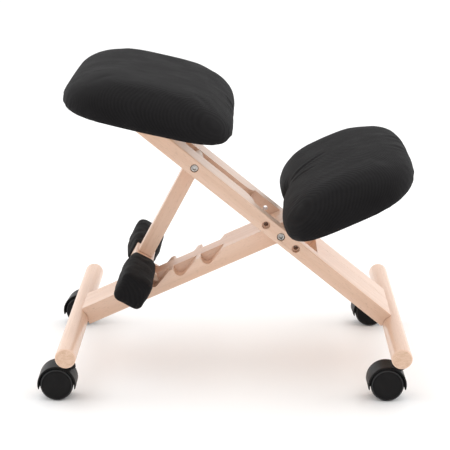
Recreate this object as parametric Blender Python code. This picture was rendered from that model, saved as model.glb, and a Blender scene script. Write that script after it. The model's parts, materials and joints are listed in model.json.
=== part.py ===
"""Kneeling chair with a scissor frame of laminated beech on four twin-wheel casters.

The seat beam and the knee beam cross at one bolt. A strut swings from the seat beam and its foot
bar hooks into one of three notches in the knee beam, which sets the height. The user faces +X, the
right side is -Y, and the casters stand on Z = 0. Sizes are in metres.
"""
import math

import bmesh
import bpy
from mathutils import Vector

# ---- driving dimensions --------------------------------------------------------------------------
GAP = 0.0003                                # clearance between neighbouring solids

AXLE_HEIGHT = 0.0730                        # both crossbars' axes above the floor
CROSSING = Vector((0.0799, 0.0, 0.2100))    # where the two beams are bolted together
SEAT_PITCH = math.radians(39.3)             # seat beam, down towards the front
KNEE_PITCH = math.radians(24.2)             # knee beam, up towards the front
SEAT_TILT = math.radians(13.0)              # seat board, down towards the front
STRUT_LEAN = math.radians(28.2)             # strut, from vertical towards the rear

CROSSBAR_RADIUS = 0.0147
CROSSBAR_LENGTH = 0.4164
CROSSBAR_BEVEL = 0.0015

SEAT_BEAM_HALF = 0.0115                     # half of the seat beam's thickness
SEAT_BEAM_WIDTH = 0.126
SEAT_BEAM_TOP = -0.312                      # along the beam from the crossing
SEAT_BEAM_AXLE = (CROSSING.z - AXLE_HEIGHT) / math.sin(SEAT_PITCH)
GROOVE_HALF = 0.015                         # half of the groove between the two rails
SLOT_HALF = 0.039                           # half of the slot that the knee beam passes through
SLOT_REAR = -0.058
SLOT_FRONT = 0.0615
COVE_RADIUS = 0.024
UPPER_CORE_END = -0.191

KNEE_BEAM_HALF = 0.0134
KNEE_BEAM_WIDTH = 0.0745
KNEE_BEAM_AXLE = -(CROSSING.z - AXLE_HEIGHT) / math.sin(KNEE_PITCH)
KNEE_BEAM_FRONT = 0.185
RIB_HALF = 0.0165                           # half of the middle layer
SCRIBE_DEPTH = 0.0124                       # from a crossbar's axis to the beam's end plane

NOTCH_WALLS = (-0.215, -0.170, -0.125)      # steep side of each notch, along the knee beam
NOTCH_RADIUS = 0.0084
NOTCH_DEPTH = 0.0143
NOTCH_RAMP = math.radians(27.0)

STRUT_PIVOT = -0.1634                       # along the seat beam
STRUT_HALF = 0.0114                         # half width, and radius of the rounded head
STRUT_THICK_HALF = 0.013
STRUT_LENGTH = 0.1640                       # pivot to the foot bar's upper face
FOOT_BAR_WIDTH = 0.031
FOOT_BAR_DEPTH = 0.0290
FOOT_BAR_LENGTH = 0.284
TOOTH_REACH = 0.0355                        # from the strut's centre line to the tooth's tip
TOOTH_HEIGHT = 0.009
TOOTH_INNER = 0.0178                        # the teeth straddle the knee beam's rib
TOOTH_OUTER = 0.0248

PAD_INNER = 0.0262                          # foot pad's hem, from the middle
PAD_OUTER = 0.1475
PAD_SAG = dict(right=0.0052, left=0.0008)   # how far the padding hangs below the bar at its end
PAD_END = (0.0220, 0.0213)                  # half sizes of the sleeve at its outer end

BOLT_SHANK = 0.0038
BOLT_HEAD = 0.0056
COUNTERBORE = 0.0062
COUNTERBORE_DEPTH = 0.007
ADJUST_HOLE = 0.0036                        # spare pivot holes beside the crossing
ADJUST_PITCH = 0.0284

BOARD_THICKNESS = 0.012
BOARD_INSET = 0.012                         # board's edge inside the cushion's widest outline
SEAT_CUSHION = dict(length=0.257, width=0.424, centre=0.054, height=0.053, brim=0.010,
                    front_waist=0.0085, rear_waist=0.002, corner=4.2)
KNEE_CUSHION = dict(length=0.228, width=0.424, centre=0.1075, height=0.053, brim=0.016,
                    front_waist=0.002, rear_waist=0.024, corner=3.2)
CROWN_INSET = 0.088                         # how far a cushion's crown falls back from its brim

SCREW_SHANK = 0.0024
SCREW_HEAD = 0.0048
SEAT_SCREW_SIDE = 0.040                     # through the seat board and the front crossbar
SEAT_SCREW_X = 0.004                        # on the seat plane, from the beam's centre line
SEAT_SCREW_LENGTH = 0.046
KNEE_SCREW_SIDE = 0.027                     # through the knee board and the rear crossbar
KNEE_SCREW_X = 0.125
KNEE_SCREW_LENGTH = 0.028
CROSSBAR_SCREW_LENGTH = 0.062
HEAD_SINK = 0.004                           # depth of the screws' counterbores

STEM_SIDE = 0.1645                          # casters' stems, from the middle
WHEEL_RADIUS = 0.0237
WHEEL_WIDTH = 0.0120
WHEEL_INNER_FACE = 0.0060
WHEEL_ROOM = 0.0012                         # between a wheel's tread and the hood
TRAIL = 0.0173                              # wheel axle behind the stem
AXLE_RADIUS = 0.003
STEM_RADIUS = 0.0052
STEM_FOOT = 0.0425
STEM_TOP = 0.0790
COLLAR_RADIUS = 0.0076
SOCKET_WALL = 0.0016
SOCKET_FLANGE = 0.0095
SOCKET_FOOT = 0.0552
HOOD_RADIUS = 0.0277
HOOD_HALF = 0.0195
NECK_HALF = 0.0078
NECK_TOP = 0.0515
SWIVEL = dict(rear_right=1.0, rear_left=-5.0, front_right=1.0, front_left=3.0)


# ---- mesh and object helpers ---------------------------------------------------------------------
def empty(name, parent=None, location=(0, 0, 0), rotation=(0, 0, 0)):
    frame = bpy.data.objects.new(name, None)
    frame.empty_display_size = 0.02
    bpy.context.scene.collection.objects.link(frame)
    frame.parent = parent
    frame.location = location
    frame.rotation_euler = rotation
    return frame


def add_object(name, mesh, parent, material=None, location=(0, 0, 0), rotation=(0, 0, 0)):
    obj = bpy.data.objects.new(name, mesh)
    bpy.context.scene.collection.objects.link(obj)
    obj.parent = parent
    obj.location = location
    obj.rotation_euler = rotation
    if material:
        mesh.materials.append(material)
    return obj


def material(name, colour, roughness, metallic=0.0):
    mat = bpy.data.materials.new(name)
    mat.use_nodes = True
    shader = mat.node_tree.nodes["Principled BSDF"]
    shader.inputs["Base Color"].default_value = (*colour, 1.0)
    shader.inputs["Roughness"].default_value = roughness
    shader.inputs["Metallic"].default_value = metallic
    return mat


def finish_mesh(name, bm, smooth_angle=35):
    bmesh.ops.recalc_face_normals(bm, faces=bm.faces)
    mesh = bpy.data.meshes.new(name)
    bm.to_mesh(mesh)
    bm.free()
    mesh.shade_smooth()
    mesh.set_sharp_from_angle(angle=math.radians(smooth_angle))
    return mesh


def prism(name, outline, low, high, along="Y"):
    """Closed prism: the outline's (x, z) swept along Y, or its (x, y) swept along Z."""
    bm = bmesh.new()
    rings = []
    for level in (low, high):
        if along == "Y":
            points = [(a, level, b) for a, b in outline]
        else:
            points = [(a, b, level) for a, b in outline]
        rings.append([bm.verts.new(point) for point in points])
    skin_rings(bm, rings)
    return finish_mesh(name, bm)


def skin_rings(bm, rings):
    """Join rings of equal length into one closed skin with a face on each end."""
    for lower, upper in zip(rings, rings[1:]):
        for i in range(len(lower)):
            j = (i + 1) % len(lower)
            bm.faces.new((lower[i], lower[j], upper[j], upper[i]))
    bm.faces.new(rings[0])
    bm.faces.new(rings[-1])


def turned(name, profile, segments, axis="Z", start_angle=0.0):
    """Solid of revolution; the profile is a closed loop of (radius, position along the axis)."""
    bm = bmesh.new()
    columns = []
    for step in range(segments):
        angle = start_angle + 2 * math.pi * step / segments
        column = []
        for radius, along in profile:
            a, b = radius * math.cos(angle), radius * math.sin(angle)
            point = (a, b, along) if axis == "Z" else (a, along, b)
            column.append(bm.verts.new(point))
        columns.append(column)
    for i, column in enumerate(columns):
        following = columns[(i + 1) % segments]
        for k in range(len(profile)):
            n = (k + 1) % len(profile)
            bm.faces.new((column[k], column[n], following[n], following[k]))
    return finish_mesh(name, bm)


def rod(name, radii, stations, segments=16, axis="Y", start_angle=0.0):
    """Solid round bar through (radius, station) pairs with flat ends."""
    bm = bmesh.new()
    rings = []
    for radius, along in zip(radii, stations):
        ring = []
        for step in range(segments):
            angle = start_angle + 2 * math.pi * step / segments
            a, b = radius * math.cos(angle), radius * math.sin(angle)
            point = {"X": (along, a, b), "Y": (a, along, b), "Z": (a, b, along)}[axis]
            ring.append(bm.verts.new(point))
        rings.append(ring)
    skin_rings(bm, rings)
    return finish_mesh(name, bm)


def arc(centre, radius, start, end, steps):
    """Points on a circle from start to end, in degrees."""
    points = []
    for step in range(steps + 1):
        angle = math.radians(start + (end - start) * step / steps)
        points.append((centre[0] + radius * math.cos(angle), centre[1] + radius * math.sin(angle)))
    return points


def cutter(name, mesh, parent, location=(0, 0, 0), rotation=(0, 0, 0)):
    obj = add_object(name, mesh, parent, location=location, rotation=rotation)
    obj.hide_render = True
    obj.display_type = "WIRE"
    return obj


def cut(target, *tools):
    for tool in tools:
        modifier = target.modifiers.new("cut " + tool.name, "BOOLEAN")
        modifier.operation = "DIFFERENCE"
        modifier.solver = "EXACT"
        modifier.object = tool


def side_sign(side):
    return -1 if side == "right" else 1


# ---- seat beam -----------------------------------------------------------------------------------
def beam_outline(start, end, half):
    return [(start, -half), (end, -half), (end, half), (start, half)]


def slot_outline():
    """Plan of the opening in the seat beam that the knee beam passes through."""
    cove_start = SLOT_REAR - COVE_RADIUS
    right = arc((cove_start, -GROOVE_HALF - COVE_RADIUS), COVE_RADIUS, 90, 0, 6)
    front = [(SLOT_FRONT, -SLOT_HALF), (SLOT_FRONT, SLOT_HALF)]
    left = arc((cove_start, GROOVE_HALF + COVE_RADIUS), COVE_RADIUS, 0, -90, 6)
    return right + front + left


def seat_beam_cutters(beam, seat_plane):
    slot = cutter("slot_cutter", prism("slot_cutter", slot_outline(), -0.03, 0.03, "Z"), beam)
    above = cutter("seat_plane_cutter",
                   prism("seat_plane_cutter", beam_outline(-0.15, 0.15, 0.05), -0.12, 0.12),
                   seat_plane, location=(0, 0, 0.05 - GAP))
    scribe = cutter("front_scribe_cutter",
                    rod("front_scribe_cutter", [CROSSBAR_RADIUS + GAP] * 2, (-0.1, 0.1), 40),
                    beam, location=(SEAT_BEAM_AXLE, 0, 0))
    return slot, above, scribe


def bore_cutter(name, beam, along, radius):
    """Cross bore through both rails, counterbored from each side."""
    half = SEAT_BEAM_WIDTH / 2
    floor = half - COUNTERBORE_DEPTH
    radii = [COUNTERBORE, COUNTERBORE, radius, radius, COUNTERBORE, COUNTERBORE]
    stations = [-half - 0.01, -floor, -floor, floor, floor, half + 0.01]
    return cutter(name, rod(name, radii, stations), beam, location=(along, 0, 0))


def seat_beam(beam, seat_plane, wood):
    slot, above, scribe = seat_beam_cutters(beam, seat_plane)
    end = SEAT_BEAM_AXLE - SCRIBE_DEPTH
    bores = [bore_cutter("strut_bore_cutter", beam, STRUT_PIVOT, BOLT_SHANK + GAP)]
    for name, along in (("rear", -ADJUST_PITCH), ("middle", 0.0), ("front", ADJUST_PITCH)):
        radius = BOLT_SHANK + GAP if name == "middle" else ADJUST_HOLE
        bores.append(bore_cutter(f"crossing_bore_cutter_{name}", beam, along, radius))
    for side in ("right", "left"):
        sign = side_sign(side)
        low, high = sorted((sign * (GROOVE_HALF + GAP / 2), sign * SEAT_BEAM_WIDTH / 2))
        name = f"seat_rail_{side}"
        outline = beam_outline(SEAT_BEAM_TOP - 0.06, end, SEAT_BEAM_HALF)
        rail = add_object(name, prism(name, outline, low, high), beam, wood)
        cut(rail, above, slot, scribe, *bores)
        screw_bore(rail, side, beam, seat_plane)
    core_half = GROOVE_HALF - GAP / 2
    outline = beam_outline(SEAT_BEAM_TOP - 0.06, UPPER_CORE_END, SEAT_BEAM_HALF)
    upper = add_object("seat_rail_core_upper",
                       prism("seat_rail_core_upper", outline, -core_half, core_half), beam, wood)
    cut(upper, above)
    outline = beam_outline(SLOT_FRONT, end, SEAT_BEAM_HALF)
    lower = add_object("seat_rail_core_lower",
                       prism("seat_rail_core_lower", outline, -core_half, core_half), beam, wood)
    cut(lower, scribe)


def screw_bore(rail, side, beam, seat_plane):
    """Pilot holes in one rail for its seat board screw and its crossbar screw."""
    y = side_sign(side) * SEAT_SCREW_SIDE
    radii = [SCREW_SHANK + GAP] * 2
    board_reach = (0.01, BOARD_THICKNESS - 0.0002 - SEAT_SCREW_LENGTH)
    board_bore = cutter(f"seat_screw_cutter_{side}", rod("bore", radii, board_reach, 12, "Z"),
                        seat_plane, location=(SEAT_SCREW_X, y, 0))
    bar_reach = (CROSSBAR_RADIUS - CROSSBAR_SCREW_LENGTH - 0.001, 0.03)
    bar_bore = cutter(f"front_screw_cutter_{side}", rod("bore", radii, bar_reach, 12, "X"),
                      beam, location=(SEAT_BEAM_AXLE, y, 0))
    cut(rail, board_bore, bar_bore)


# ---- knee beam -----------------------------------------------------------------------------------
def notch_points(wall):
    """One notch from its steep rear wall round the bottom and up the front ramp."""
    top = KNEE_BEAM_HALF
    centre = (wall + NOTCH_RADIUS, top - NOTCH_DEPTH + NOTCH_RADIUS)
    points = [(wall, top)] + arc(centre, NOTCH_RADIUS, 180, 270 + math.degrees(NOTCH_RAMP), 7)
    foot_x, foot_z = points[-1]
    points.append((foot_x + (top - foot_z) / math.tan(NOTCH_RAMP), top))
    return points


def cheek_outline():
    half = KNEE_BEAM_HALF
    start = KNEE_BEAM_AXLE + SCRIBE_DEPTH
    top = [(start, half)]
    for wall in NOTCH_WALLS:
        top += notch_points(wall)
    top.append((KNEE_BEAM_FRONT, half))
    return [(KNEE_BEAM_FRONT, -half), (start, -half)] + top


def knee_beam(beam, wood):
    scribe = cutter("rear_scribe_cutter",
                    rod("rear_scribe_cutter", [CROSSBAR_RADIUS + GAP] * 2, (-0.1, 0.1), 40),
                    beam, location=(KNEE_BEAM_AXLE, 0, 0))
    pivot = cutter("knee_bore_cutter", rod("bore", [BOLT_SHANK + GAP] * 2, (-0.1, 0.1)), beam)
    for side in ("right", "left"):
        sign = side_sign(side)
        low, high = sorted((sign * (RIB_HALF + GAP), sign * KNEE_BEAM_WIDTH / 2))
        name = f"knee_cheek_{side}"
        cheek = add_object(name, prism(name, cheek_outline(), low, high), beam, wood)
        board_bore = cutter(f"knee_screw_cutter_{side}",
                            rod("bore", [SCREW_SHANK + GAP] * 2, (-0.007, 0.03), 12, "Z"),
                            beam, location=(KNEE_SCREW_X, sign * KNEE_SCREW_SIDE, 0))
        bar_bore = cutter(f"rear_screw_cutter_{side}",
                          rod("bore", [SCREW_SHANK + GAP] * 2,
                              (-0.03, CROSSBAR_SCREW_LENGTH - CROSSBAR_RADIUS + 0.001), 12, "X"),
                          beam, location=(KNEE_BEAM_AXLE, sign * KNEE_SCREW_SIDE, 0))
        cut(cheek, scribe, pivot, board_bore, bar_bore)
    start = KNEE_BEAM_AXLE + SCRIBE_DEPTH
    outline = beam_outline(start, KNEE_BEAM_FRONT, KNEE_BEAM_HALF)
    rib = add_object("knee_rib", prism("knee_rib", outline, -RIB_HALF, RIB_HALF), beam, wood)
    cut(rib, scribe, pivot)


# ---- crossbars -----------------------------------------------------------------------------------
def crossbar(name, parent, wood, screw_side, outward):
    """Round bar along Y; outward is +1 or -1 along the beam, where its screw heads sit."""
    half = CROSSBAR_LENGTH / 2
    ease = CROSSBAR_BEVEL
    radii = [CROSSBAR_RADIUS - ease, CROSSBAR_RADIUS, CROSSBAR_RADIUS, CROSSBAR_RADIUS - ease]
    stations = [-half, -half + ease, half - ease, half]
    bar = add_object(name, rod(name, radii, stations, 36), parent, wood)
    seat = CROSSBAR_RADIUS - HEAD_SINK
    radii = [SCREW_SHANK + GAP, SCREW_SHANK + GAP, SCREW_HEAD + GAP, SCREW_HEAD + GAP]
    stations = [-0.03 * outward, seat * outward, seat * outward, 0.03 * outward]
    for side in ("right", "left"):
        cut(bar, cutter(f"{name}_screw_cutter_{side}", rod("bore", radii, stations, 16, "X"),
                        parent, location=(0, side_sign(side) * screw_side, 0)))
    return bar


def crossbar_screws(prefix, parent, steel, screw_side, outward):
    seat = (CROSSBAR_RADIUS - HEAD_SINK + GAP) * outward
    tip = (CROSSBAR_RADIUS - CROSSBAR_SCREW_LENGTH) * outward
    crown = (CROSSBAR_RADIUS - 0.001) * outward
    radii = [SCREW_SHANK, SCREW_SHANK, SCREW_HEAD, SCREW_HEAD]
    for side in ("right", "left"):
        name = f"{prefix}_screw_{side}"
        add_object(name, rod(name, radii, [tip, seat, seat, crown], 12, "X"), parent, steel,
                   location=(0, side_sign(side) * screw_side, 0))


# ---- bolts ---------------------------------------------------------------------------------------
def hex_socket_bolt(name, parent, along, steel, shank_end):
    """Bolt from the right side; shank_end is the Y where its shank stops."""
    face = -SEAT_BEAM_WIDTH / 2 + 0.0012
    seat = -SEAT_BEAM_WIDTH / 2 + COUNTERBORE_DEPTH - GAP
    radii = [BOLT_HEAD - 0.0006, BOLT_HEAD, BOLT_HEAD, BOLT_SHANK, BOLT_SHANK]
    mesh = rod(name, radii, [face, face + 0.0006, seat, seat, shank_end])
    bolt = add_object(name, mesh, parent, steel, location=(along, 0, 0))
    socket = rod("socket", [0.0029] * 2, (face - 0.01, face + 0.003), 6)
    cut(bolt, cutter(f"{name}_socket_cutter", socket, parent, location=(along, 0, 0)))


def sleeve_nut(name, parent, along, steel):
    """Cap nut from the left side that takes the end of the bolt's shank."""
    face = SEAT_BEAM_WIDTH / 2 - 0.0012
    seat = SEAT_BEAM_WIDTH / 2 - COUNTERBORE_DEPTH + GAP
    mesh = rod(name, [BOLT_HEAD, BOLT_HEAD, BOLT_HEAD - 0.0006], [seat, face - 0.0006, face])
    nut = add_object(name, mesh, parent, steel, location=(along, 0, 0))
    thread = rod("thread", [BOLT_SHANK + GAP] * 2, (0, seat + 0.0024))
    cut(nut, cutter(f"{name}_thread_cutter", thread, parent, location=(along, 0, 0)))


def washer(name, parent, side, nylon):
    inner, outer = SLOT_HALF - GAP, KNEE_BEAM_WIDTH / 2 + GAP
    low, high = sorted((side_sign(side) * inner, side_sign(side) * outer))
    bore = BOLT_SHANK + GAP
    profile = [(bore, low), (0.0095, low), (0.0095, high), (bore, high)]
    add_object(name, turned(name, profile, 20, "Y"), parent, nylon)


# ---- strut and foot bar --------------------------------------------------------------------------
def strut(frame, wood, steel):
    """Strut in its own frame: +Z runs from the foot bar up to the pivot at the origin."""
    outline = [(-STRUT_HALF, -STRUT_LENGTH + GAP), (STRUT_HALF, -STRUT_LENGTH + GAP)]
    outline += arc((0, 0), STRUT_HALF, 0, 180, 10)
    mesh = prism("strut", outline, -STRUT_THICK_HALF, STRUT_THICK_HALF)
    bar = add_object("strut", mesh, frame, wood)
    pivot = cutter("strut_pivot_cutter", rod("bore", [BOLT_SHANK + GAP] * 2, (-0.05, 0.05)), frame)
    foot = -STRUT_LENGTH - FOOT_BAR_DEPTH
    radii = [SCREW_HEAD + GAP, SCREW_HEAD + GAP, SCREW_SHANK + GAP, SCREW_SHANK + GAP]
    stations = [foot - 0.01, foot + 0.005, foot + 0.005, foot + 0.072]
    screw = cutter("foot_screw_cutter", rod("bore", radii, stations, 12, "Z"), frame)
    cut(bar, pivot, screw)

    half = FOOT_BAR_WIDTH / 2
    outline = [(-half, foot), (half, foot), (half, -STRUT_LENGTH), (-half, -STRUT_LENGTH)]
    mesh = prism("foot_bar", outline, -FOOT_BAR_LENGTH / 2, FOOT_BAR_LENGTH / 2)
    cut(add_object("foot_bar", mesh, frame, wood), screw)
    radii = [SCREW_HEAD, SCREW_HEAD, SCREW_SHANK, SCREW_SHANK]
    stations = [foot + 0.002, foot + 0.005 - GAP, foot + 0.005 - GAP, foot + 0.070]
    add_object("foot_bar_screw", rod("foot_bar_screw", radii, stations, 12, "Z"), frame, steel)


def foot_bar_teeth(frame, wood):
    """Two teeth in front of the bar; their undersides are round about the strut's pivot."""
    radius = STRUT_LENGTH + FOOT_BAR_DEPTH
    back = FOOT_BAR_WIDTH / 2 + GAP
    underside = []
    for step in range(6):
        x = back + (TOOTH_REACH - back) * step / 5
        underside.append((x, -math.sqrt(radius ** 2 - x ** 2)))
    tip = underside[-1][1]
    outline = underside + [(TOOTH_REACH, tip + 0.003), (TOOTH_REACH - 0.006, tip + TOOTH_HEIGHT),
                           (back, tip + TOOTH_HEIGHT)]
    for side in ("right", "left"):
        low, high = sorted((side_sign(side) * TOOTH_INNER, side_sign(side) * TOOTH_OUTER))
        name = f"foot_bar_tooth_{side}"
        add_object(name, prism(name, outline, low, high), frame, wood)


def foot_pads(frame, fabric):
    """Padded sleeve over each end of the foot bar, snug at its inner hem and fuller outside."""
    bar_x, bar_z = FOOT_BAR_WIDTH / 2, FOOT_BAR_DEPTH / 2
    middle = -STRUT_LENGTH - bar_z
    end_x, end_z = PAD_END
    bore = (bar_x + GAP, bar_z + GAP, 0.0)
    sections = [(*bore, FOOT_BAR_LENGTH / 2 + GAP), (*bore, PAD_INNER),
                (bar_x + 0.0022, bar_z + 0.0022, 0.0, PAD_INNER),
                (bar_x + 0.0030, bar_z + 0.0027, 0.05, 0.041),
                (bar_x + 0.0048, bar_z + 0.0045, 0.55, 0.075),
                (end_x, end_z, 1.0, PAD_OUTER - 0.028),
                (end_x, end_z, 1.0, PAD_OUTER - 0.007),
                (end_x - 0.0045, end_z - 0.0045, 1.0, PAD_OUTER)]
    for side in ("right", "left"):
        name = f"foot_pad_{side}"
        bm = bmesh.new()
        rings = []
        for half_x, half_z, sag, y in sections:
            radius = 0.0002 if half_x == bore[0] else 0.006
            level = middle - sag * PAD_SAG[side]
            rings.append([bm.verts.new((x, side_sign(side) * y, z + level))
                          for x, z in rounded_box(half_x, half_z, radius)])
        skin_rings(bm, rings)
        add_object(name, finish_mesh(name, bm), frame, fabric)


def rounded_box(half_x, half_z, radius, steps=4):
    points = []
    for quarter, (sx, sz) in enumerate(((1, 1), (-1, 1), (-1, -1), (1, -1))):
        centre = (sx * (half_x - radius), sz * (half_z - radius))
        points += arc(centre, radius, 90 * quarter, 90 * quarter + 90, steps)
    return points


# ---- cushions and boards -------------------------------------------------------------------------
def cushion_outline(size, inset, count=44):
    """Rounded rectangle whose long sides pull in at the middle; inset shrinks it all round."""
    half_x = size["length"] / 2 - inset
    half_y = size["width"] / 2 - inset
    power = 2.0 / size["corner"]
    points = []
    for step in range(count):
        angle = 2 * math.pi * step / count
        c, s = math.cos(angle), math.sin(angle)
        x = half_x * math.copysign(abs(c) ** power, c)
        y = half_y * math.copysign(abs(s) ** power, s)
        waist = size["front_waist"] if x > 0 else size["rear_waist"]
        points.append((x - waist * (1 - (y / half_y) ** 2) * (x / half_x), y))
    return points


def cushion(name, size, parent, fabric):
    """Crowned foam block with a pocket underneath that holds its board."""
    pocket = BOARD_INSET - GAP
    brim = size["brim"]
    levels = [(pocket, BOARD_THICKNESS + GAP), (pocket, 0.0), (0.005, 0.0), (0.0, 0.5 * brim)]
    for rise in (0.0, 0.30, 0.55, 0.76, 0.90, 0.97):
        fall = CROWN_INSET * (1 - math.sqrt(1 - rise ** 2))
        levels.append((fall, brim + (size["height"] - brim) * rise))
    levels.append((0.8 * CROWN_INSET, size["height"]))
    bm = bmesh.new()
    rings = []
    for inset, z in levels:
        points = [(x + size["centre"], y, z) for x, y in cushion_outline(size, inset)]
        rings.append([bm.verts.new(point) for point in points])
    skin_rings(bm, rings)
    return add_object(name, finish_mesh(name, bm), parent, fabric)


def board(name, size, parent, plywood, screws):
    outline = [(x + size["centre"], y) for x, y in cushion_outline(size, BOARD_INSET)]
    panel = add_object(name, prism(name, outline, GAP, BOARD_THICKNESS, "Z"), parent, plywood)
    seat = BOARD_THICKNESS - HEAD_SINK
    radii = [SCREW_SHANK + GAP, SCREW_SHANK + GAP, SCREW_HEAD + GAP, SCREW_HEAD + GAP]
    stations = [-0.01, seat, seat, BOARD_THICKNESS + 0.01]
    for index, (x, y) in enumerate(screws):
        cut(panel, cutter(f"{name}_screw_cutter_{index}", rod("bore", radii, stations, 12, "Z"),
                          parent, location=(x, y, 0)))


def board_screw(name, parent, x, y, length, steel):
    seat = BOARD_THICKNESS - HEAD_SINK + GAP
    radii = [SCREW_SHANK, SCREW_SHANK, SCREW_HEAD, SCREW_HEAD]
    stations = [BOARD_THICKNESS - length, seat, seat, BOARD_THICKNESS - 0.0004]
    add_object(name, rod(name, radii, stations, 12, "Z"), parent, steel, location=(x, y, 0))


# ---- casters -------------------------------------------------------------------------------------
def hood_outline():
    """Side view of the hood with the neck that takes the stem."""
    centre = (-TRAIL, WHEEL_RADIUS)
    front = math.degrees(math.acos((TRAIL + NECK_HALF) / HOOD_RADIUS))
    rear = math.degrees(math.acos((TRAIL - NECK_HALF) / HOOD_RADIUS))
    points = arc(centre, HOOD_RADIUS, -12, front, 5)
    points += [(NECK_HALF, NECK_TOP), (-NECK_HALF, NECK_TOP)]
    return points + arc(centre, HOOD_RADIUS, rear, 192, 14)


def caster(name, swivel, black, steel):
    """One caster in its swivel frame: the stem is on Z and the wheels trail towards -X."""
    mesh = prism(f"{name}_hood", hood_outline(), -HOOD_HALF, HOOD_HALF)
    hood = add_object(f"{name}_hood", mesh, swivel, black)
    axle_at = (-TRAIL, 0, WHEEL_RADIUS)
    for side, sign in (("inner", 1), ("outer", -1)):
        low, high = sorted((sign * (WHEEL_INNER_FACE - 0.0006), sign * (HOOD_HALF + 0.01)))
        room = rod("room", [WHEEL_RADIUS + WHEEL_ROOM] * 2, (low, high), 32)
        cut(hood, cutter(f"{name}_wheel_room_{side}", room, swivel, location=axle_at))
    bore = rod("bore", [AXLE_RADIUS + GAP] * 2, (-0.02, 0.02), 12)
    cut(hood, cutter(f"{name}_axle_cutter", bore, swivel, location=axle_at))
    bore = rod("bore", [STEM_RADIUS + GAP] * 2, (STEM_FOOT - GAP, 0.07), 16, "Z")
    cut(hood, cutter(f"{name}_stem_cutter", bore, swivel))

    radii = [STEM_RADIUS, STEM_RADIUS, COLLAR_RADIUS, COLLAR_RADIUS, STEM_RADIUS, STEM_RADIUS]
    stations = [STEM_FOOT, NECK_TOP + GAP, NECK_TOP + GAP, SOCKET_FOOT - GAP, SOCKET_FOOT - GAP, STEM_TOP]
    add_object(f"{name}_stem", rod(f"{name}_stem", radii, stations, 16, "Z"), swivel, steel)
    half = WHEEL_INNER_FACE + WHEEL_WIDTH - 0.0035
    mesh = rod(f"{name}_axle", [AXLE_RADIUS] * 2, (-half, half), 12)
    add_object(f"{name}_axle", mesh, swivel, steel, location=axle_at)
    for side, sign in (("inner", 1), ("outer", -1)):
        label = f"{name}_wheel_{side}"
        mesh = turned(label, wheel_profile(sign), 24, "Y", start_angle=-math.pi / 2)
        add_object(label, mesh, swivel, black, location=axle_at)


def wheel_profile(sign):
    """Closed half section of a wheel: bore, outer face with a dished hub, tread, inner face."""
    bore = AXLE_RADIUS + GAP
    inner, outer = WHEEL_INNER_FACE, WHEEL_INNER_FACE + WHEEL_WIDTH
    section = [(bore, inner), (bore, outer - 0.0030), (0.0150, outer - 0.0030), (0.0175, outer),
               (WHEEL_RADIUS - 0.0018, outer), (WHEEL_RADIUS, outer - 0.0018),
               (WHEEL_RADIUS, inner + 0.001), (WHEEL_RADIUS - 0.001, inner)]
    return [(radius, sign * along) for radius, along in section]


def stem_socket(name, axle, y, black):
    """Sleeve in a crossbar that the caster's stem turns in; returns the cutter for its bore."""
    inner, outer = STEM_RADIUS + GAP, STEM_RADIUS + GAP + SOCKET_WALL
    foot, top = SOCKET_FOOT - AXLE_HEIGHT, STEM_TOP + 0.001 - AXLE_HEIGHT
    flange = -CROSSBAR_RADIUS - GAP
    profile = [(inner, foot), (SOCKET_FLANGE, foot), (SOCKET_FLANGE, flange), (outer, flange),
               (outer, top), (inner, top)]
    add_object(name, turned(name, profile, 16), axle, black, location=(0, y, 0))
    bore = rod("bore", [outer + GAP] * 2, (-0.03, top + GAP), 16, "Z")
    return cutter(f"{name}_cutter", bore, axle, location=(0, y, 0))


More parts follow.
